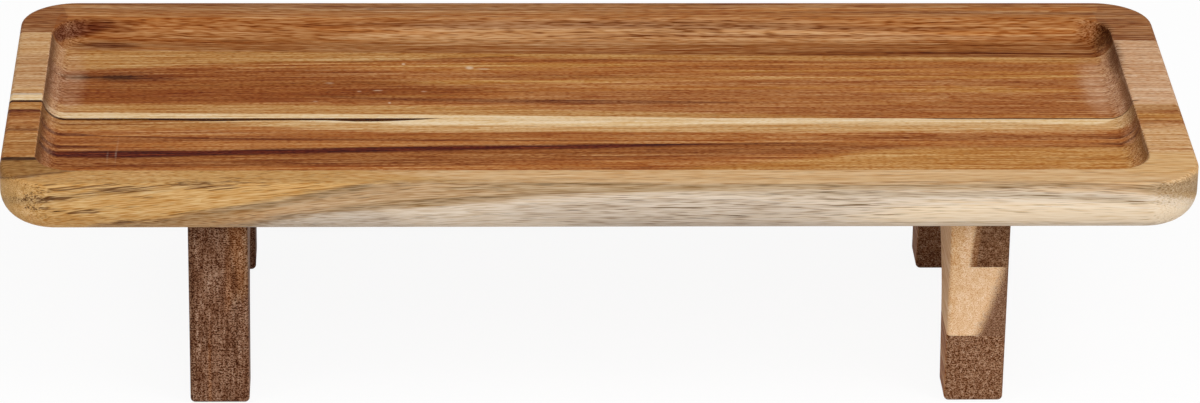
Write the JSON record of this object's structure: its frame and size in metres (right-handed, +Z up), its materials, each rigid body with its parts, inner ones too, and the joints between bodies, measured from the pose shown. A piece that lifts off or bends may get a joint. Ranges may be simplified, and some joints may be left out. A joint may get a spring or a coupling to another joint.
{
  "type": "breakfast tray",
  "caption": "Oiled wooden serving tray: a long deck of glued staves with a shallow coved recess, standing on arched laminated legs.",
  "frame": {"origin": "on the table, under the centre of the deck", "axes": "+X along the deck to the right, -Y towards the front, +Z up"},
  "size_m": [0.5, 0.2, 0.1113],
  "materials": {
    "rear_stave_wood": "oiled satin",
    "middle_rear_stave_wood": "oiled satin",
    "middle_front_stave_wood": "oiled satin",
    "front_stave_wood": "oiled satin",
    "left_leg_wood": "oiled satin",
    "right_leg_rail_wood": "oiled satin",
    "right_leg_post_wood": "oiled satin",
    "right_leg_foot_wood": "oiled satin",
    "dowel_wood": "unfinished"
  },
  "bodies": {
    "root": {"rear_stave": "rear_stave_wood", "middle_rear_stave": "middle_rear_stave_wood", "middle_front_stave": "middle_front_stave_wood", "front_stave": "front_stave_wood", "left_leg_top_rail": "left_leg_wood", "left_leg_front_post": "left_leg_wood", "left_leg_rear_post": "left_leg_wood", "left_leg_front_foot": "left_leg_wood", "left_leg_rear_foot": "left_leg_wood", "right_leg_top_rail": "right_leg_rail_wood", "right_leg_front_post": "right_leg_post_wood", "right_leg_rear_post": "right_leg_post_wood", "right_leg_front_foot": "right_leg_foot_wood", "right_leg_rear_foot": "right_leg_foot_wood", "left_front_dowel": "dowel_wood", "left_rear_dowel": "dowel_wood", "right_front_dowel": "dowel_wood", "right_rear_dowel": "dowel_wood"}
  },
  "joints": []
}
